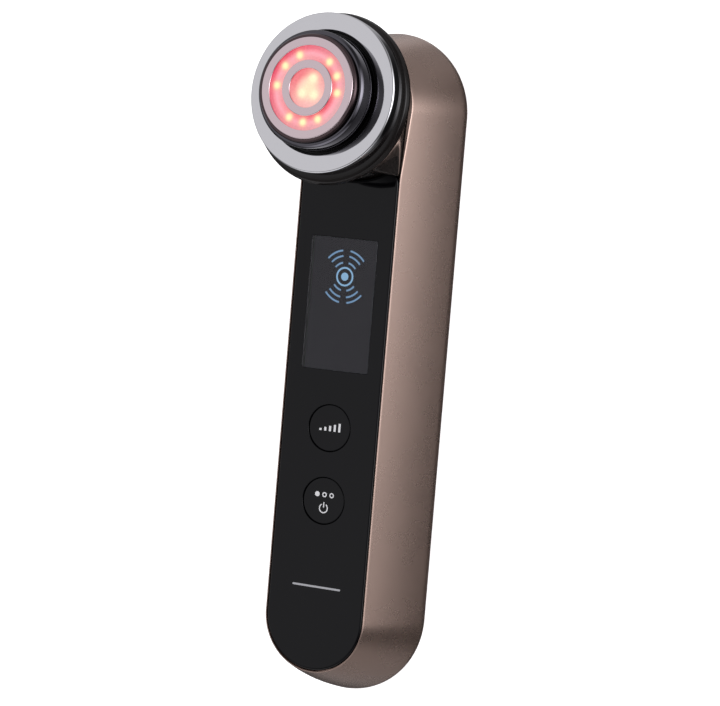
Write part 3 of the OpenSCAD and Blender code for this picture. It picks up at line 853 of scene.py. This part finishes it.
rim_prof = rounded([(14.0, 6.2), (14.9, 6.2), (14.9, 7.7), (14.6, FACE_H - 0.25), (14.0, FACE_H - 0.15)],
                   [0, 0.05, 0.2, 0.15, 0], 5)
piece(lathe("face_rim_ring", rim_prof, 320), RIM_CHROME, nodes=["face_rim"])

outer_face = dense(rounded([(11.6, 6.2), (13.98, 6.2), (13.98, FACE_H), (11.6, FACE_H)], [0, 0.05, 0.3, 0.22], 8), 0.6)
piece(lathe("face_electrode_outer", outer_face, 320, angle=40), FACE_SILVER, nodes=["outer_face_electrode"])
inner_face = dense(rounded([(5.38, 6.2), (7.73, 6.2), (7.73, FACE_H), (5.38, FACE_H)], [0, 0, 0.3, 0.22], 8), 0.6)
piece(lathe("face_electrode_inner", inner_face, 256, angle=40), FACE_SILVER, nodes=["inner_face_electrode"])


def lerp3(a, b, t):
    t = max(0.0, min(1.0, t))
    return tuple(a[i] + (b[i] - a[i]) * t for i in range(3))


SPOTS = [(LED_R * sin(radians(a)), LED_R * cos(radians(a))) for a in LED_ANG]
CSPOTS = [(1.45, 2.7), (-1.3, -1.5), (2.3, -1.75)]


def paint(obj, fn):
    me = obj.data
    inv = HEAD.inverted()
    at = me.color_attributes.new("glow", "FLOAT_COLOR", "POINT")
    for i, v in enumerate(me.vertices):
        p = inv @ (v.co / MM)
        at.data[i].color = (*fn(p.x, p.y), 1.0)


def ring_glow_painted_shade(x, y):
    r = hypot(x, y)
    # painted shade: t darkens and reddens the outer edge towards the upper left and the inner edge towards the lower
    # right, the recessed lens's shading painted into its emission; the LED spots and halos are the lens's own light
    t = 0.5 + 0.5 * cos(atan2(x, y) - radians(305))   # 1 at the upper left, 0 at the lower right
    d = min(hypot(x - a, y - b) for a, b in SPOTS)
    c = (0.98, 0.40, 0.46)
    if r > 9.5:
        c = lerp3(c, lerp3((0.72, 0.40, 0.42), (0.74, 0.06, 0.12), t), (r - 9.5) / 1.4)
    else:
        c = lerp3(c, lerp3((0.78, 0.10, 0.14), (0.84, 0.40, 0.42), t), (9.5 - r) / 1.2)
    halo = math.exp(-((d / 1.45) ** 2))
    c = lerp3(c, (1.05, 0.52, 0.30), halo * 0.7)
    spot = math.exp(-((d / 1.0) ** 3.0))
    c = lerp3(c, (1.20, 1.05, 0.52), spot)
    return c


def centre_glow_painted_shade(x, y):
    r = hypot(x, y)
    # painted shade: t darkens and reddens the lens edge on one side, the recess shading painted into the emission; the
    # three LED spots and their halo are the lens's own light
    t = 0.5 + 0.5 * cos(atan2(x, y) - radians(320))
    c = lerp3((1.0, 0.62, 0.50), lerp3((0.84, 0.50, 0.47), (0.80, 0.17, 0.19), t), (r - 1.8) / 2.0)
    halo = sum(math.exp(-(((x - a) ** 2 + (y - b) ** 2) / 3.8)) for a, b in CSPOTS + [(0.5, 0.4)])
    c = lerp3(c, (1.05, 0.84, 0.54), min(1.0, halo * 0.75))
    d = min(hypot(x - a, y - b) for a, b in CSPOTS)
    c = lerp3(c, (1.15, 1.02, 0.64), math.exp(-((d / 1.2) ** 3.0)))
    return c


lens_prof = [(7.75, 6.2), (11.58, 6.2), (11.58, FACE_H - 0.56)]
for k in range(0, 31):
    r = 11.5 - (11.5 - 7.83) * k / 30
    lens_prof.append((r, FACE_H - 0.46 + 0.12 * sin(pi * k / 30)))
lens_prof.append((7.75, FACE_H - 0.56))
lens = lathe("lens_ring", lens_prof, 540, angle=60)
paint(lens, ring_glow_painted_shade)
piece(lens, LENS, nodes=["led_lens_ring"])

cl_prof = [(0, 6.2), (5.36, 6.2), (5.36, FACE_H - 0.56)]
for k in range(0, 33):
    r = 5.28 * (1 - k / 32)
    cl_prof.append((r, FACE_H - 0.46 + 0.2 * (1 - (r / 5.28) ** 2)))
clens = lathe("lens_centre", cl_prof, 240, angle=60, closed=False)
paint(clens, centre_glow_painted_shade)
piece(clens, LENS, nodes=["centre_lens"])

# ------------------------------------------------------------------ CAD nodes that stay
KEEP = {
    "display_module": DARK_PLASTIC, "panel_gasket": FOAM, "inner_frame": GREY_PLASTIC, "main_pcb": BOARD,
    "level_switch": DARK_PLASTIC, "mode_switch": DARK_PLASTIC, "battery_cell": CELL, "battery_pad": FOAM,
    "battery_leads": WIRE, "charge_contacts": GOLD, "contact_block": DARK_PLASTIC, "charge_leads": WIRE,
    "buzzer": DARK_PLASTIC, "rf_transformer": FERRITE, "board_connector": WHITE_PLASTIC, "head_ribbon": FLEX,
    "head_seal": RUBBER, "head_carrier": DARK_PLASTIC, "led_reflector": WHITE_PLASTIC, "led_board": WHITE_PLASTIC,
    "ring_leds": LAMP, "centre_leds": LAMP, "case_screws": STEEL, "board_screws": STEEL, "neck_screws": STEEL,
    "head_screws": STEEL,
}
for name, mt in KEEP.items():
    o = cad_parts[name]
    if not o.material_slots:
        o.data.materials.append(mt)
    for sl in o.material_slots:
        sl.material = mt

# ------------------------------------------------------------------ stage
def stage_mat():
    mt, nt, b = new_mat("stage")
    vec = obj_coords(nt)
    f = noise(nt, vec, 3.0, 2.0)
    nt.links.new(mix_col(nt, f, (0.86, 0.86, 0.865), (0.84, 0.84, 0.845)), b.inputs["Base Color"])
    nt.links.new(mix_col(nt, f, (1, 1, 1), (0.99, 0.99, 0.99)), b.inputs["Emission Color"])
    b.inputs["Emission Strength"].default_value = 0.74
    nt.links.new(ramp_range(nt, noise(nt, vec, 40.0), 0.85, 0.95), b.inputs["Roughness"])
    b.inputs["Specular IOR Level"].default_value = 0.1
    return mt


me = bpy.data.meshes.new("floor")
bmf = bmesh.new()
bmesh.ops.create_circle(bmf, cap_ends=True, segments=96, radius=6.0)
bmf.to_mesh(me)
bmf.free()
floor = link(me, "floor")
floor.location.z = -0.0002
floor.data.materials.append(stage_mat())
floor.visible_glossy = False

# ------------------------------------------------------------------ world and lights
world = bpy.data.worlds.new("studio")
bpy.context.scene.world = world
world.use_nodes = True
wt = world.node_tree
wt.nodes.clear()
wo = wt.nodes.new("ShaderNodeOutputWorld")
bg_env = wt.nodes.new("ShaderNodeBackground")
bg_cam = wt.nodes.new("ShaderNodeBackground")
mixs = wt.nodes.new("ShaderNodeMixShader")
lp = wt.nodes.new("ShaderNodeLightPath")
wt.links.new(lp.outputs["Is Camera Ray"], mixs.inputs["Fac"])
wt.links.new(bg_env.outputs[0], mixs.inputs[1])
wt.links.new(bg_cam.outputs[0], mixs.inputs[2])
wt.links.new(mixs.outputs[0], wo.inputs["Surface"])
bg_cam.inputs["Color"].default_value = (1.0, 1.0, 1.0, 1)
bg_cam.inputs["Strength"].default_value = 1.0
tc = wt.nodes.new("ShaderNodeTexCoord")
sep = wt.nodes.new("ShaderNodeSeparateXYZ")
wt.links.new(tc.outputs["Generated"], sep.inputs[0])
def wmath(op, x, y=None, clamp=False):
    n = wt.nodes.new("ShaderNodeMath")
    n.operation = op
    n.use_clamp = clamp
    for i, v in enumerate((x, y)):
        if v is None:
            continue
        if isinstance(v, (int, float)):
            n.inputs[i].default_value = v
        else:
            wt.links.new(v, n.inputs[i])
    return n.outputs[0]


def wramp(v, lo, hi, a, b):
    n = wt.nodes.new("ShaderNodeMapRange")
    n.interpolation_type = "SMOOTHSTEP"
    n.inputs["From Min"].default_value = lo
    n.inputs["From Max"].default_value = hi
    n.inputs["To Min"].default_value = a
    n.inputs["To Max"].default_value = b
    wt.links.new(v, n.inputs["Value"])
    return n.outputs["Result"]


SX, SY, SZ = sep.outputs["X"], sep.outputs["Y"], sep.outputs["Z"]


def bell(v, centre, lo, hi):
    """1 at the centre, falling off with width lo below it and hi above it."""
    d = wmath("SUBTRACT", v, centre)
    neg = wmath("DIVIDE", wmath("MINIMUM", d, 0.0), lo)
    pos = wmath("DIVIDE", wmath("MAXIMUM", d, 0.0), hi)
    q = wmath("ADD", wmath("MULTIPLY", neg, neg), wmath("MULTIPLY", pos, pos))
    return wmath("EXPONENT", wmath("MULTIPLY", q, -1.0))


# base: dark underneath, pale overhead
base_up = wmath("MULTIPLY", wramp(SZ, -0.55, 0.35, 0.03, 0.60),
                wmath("MULTIPLY", wramp(SX, -0.15, 0.38, 1.0, 0.22), wramp(SY, -0.50, -0.20, 0.35, 1.0)))
# wide soft panel on the right, low and level with the upper half of the object
right_box = wmath("MULTIPLY", wmath("MULTIPLY", bell(SY, 0.10, 0.22, 0.34), bell(SZ, -0.10, 0.33, 0.62)), wramp(SX, 0.1, 0.7, 0.0, 1.92))
# narrow strip light high on the right, for the thin highlights on the rounded edges
strip_light = wmath("MULTIPLY", wmath("MULTIPLY", bell(SZ, 0.46, 0.20, 0.20), bell(SY, 0.15, 0.35, 0.45)), wramp(SX, 0.6, 0.8, 0.0, 3.6))
front_strip = wmath("MULTIPLY", bell(SZ, 0.30, 0.14, 0.14), wramp(SY, -0.55, -0.80, 0.0, 1.3))
# pale card low behind, which lights the far edge
back_card = wmath("MULTIPLY", wmath("MULTIPLY", wramp(SX, -0.02, -0.30, 0.0, 0.34), wramp(SZ, -0.35, -0.75, 0.0, 1.0)), wramp(SY, -0.32, -0.10, 0.1, 1.0))
# weak cards beyond the two ends
end_cards = wmath("MULTIPLY", wmath("ADD", wramp(SY, 0.35, 0.75, 0.0, 0.28), wramp(SY, -0.40, -0.75, 0.0, 0.22)), wramp(SZ, 0.1, -0.2, 0.0, 1.0))
total = wmath("ADD", wmath("ADD", wmath("ADD", base_up, right_box), back_card), wmath("ADD", end_cards, wmath("ADD", strip_light, front_strip)))
comb = wt.nodes.new("ShaderNodeCombineColor")
wt.links.new(total, comb.inputs[0])
wt.links.new(total, comb.inputs[1])
wt.links.new(wmath("MULTIPLY", total, 1.03), comb.inputs[2])
wt.links.new(comb.outputs[0], bg_env.inputs["Color"])
bg_env.inputs["Strength"].default_value = 1.0


def area(name, loc, aim, size, power, color=(1, 1, 1), size_y=None):
    ld = bpy.data.lights.new(name, "AREA")
    ld.energy = power
    ld.color = color
    ld.shape = "RECTANGLE"
    ld.size = size
    ld.size_y = size_y or size
    o = bpy.data.objects.new(name, ld)
    bpy.context.scene.collection.objects.link(o)
    o.location = loc
    o.rotation_euler = (Vector(aim) - Vector(loc)).to_track_quat("-Z", "Y").to_euler()
    o.visible_glossy = False
    o.visible_transmission = False
    return o


key = area("key", (-0.9, 0.5, 1.3), (0, 0.0, 0.02), 0.9, 11.0)
fill = area("fill", (1.3, -0.2, 0.9), (0, 0, 0.02), 0.8, 6.0)

scene = bpy.context.scene
scene.view_settings.view_transform = "Standard"
scene.view_settings.look = "None"
scene.view_settings.exposure = 0.0
scene.view_settings.gamma = 1.0
